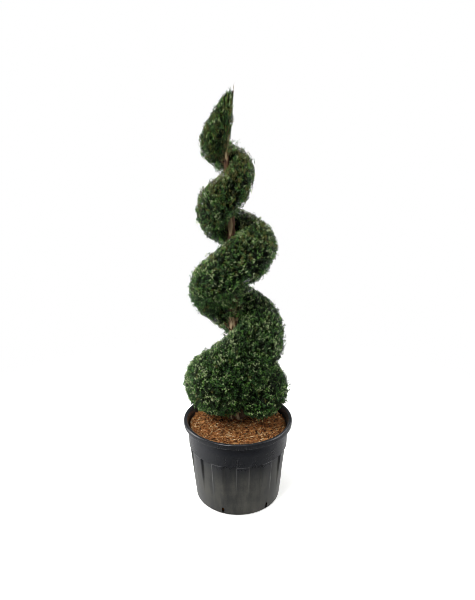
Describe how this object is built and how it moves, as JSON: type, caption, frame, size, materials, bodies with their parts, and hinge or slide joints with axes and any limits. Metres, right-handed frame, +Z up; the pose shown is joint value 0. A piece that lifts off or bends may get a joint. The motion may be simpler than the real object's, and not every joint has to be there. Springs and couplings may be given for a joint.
{
  "type": "potted spiral topiary",
  "caption": "Clipped conifer whose dense foliage winds up a bare central trunk as a rising spiral to a pointed tip, planted in a round fluted nursery pot.",
  "frame": {"origin": "centre of the pot's flat underside, on the floor", "axes": "+Z up along the trunk; the side seen in the picture faces -Y, with the spiral's lowest end at the front right (+X)"},
  "size_m": [0.5, 0.5, 1.817],
  "materials": {
    "pot": "scuffed black moulded polypropylene",
    "soil": "loose fibrous potting mix, orange-brown",
    "bark": "thin flaking conifer bark, red-brown with paler strips",
    "foliage": "sheared sprays of small matt dark green needles"
  },
  "bodies": {
    "root": {"pot": "pot", "soil": "soil", "trunk": "bark", "bough_1_a": "bark", "bough_1_b": "bark", "bough_2_a": "bark", "bough_2_b": "bark", "bough_3_a": "bark", "bough_3_b": "bark", "bough_4_a": "bark", "bough_4_b": "bark", "bough_5_a": "bark", "bough_5_b": "bark", "bough_6_a": "bark", "bough_6_b": "bark", "bough_7_a": "bark", "bough_7_b": "bark", "bough_8_a": "bark", "bough_8_b": "bark", "foliage_1_foot": "foliage", "foliage_2_front": "foliage", "foliage_3_back": "foliage", "foliage_4_front": "foliage", "foliage_5_back": "foliage", "foliage_6_front": "foliage", "foliage_7_back": "foliage", "foliage_8_top": "foliage"}
  },
  "joints": []
}
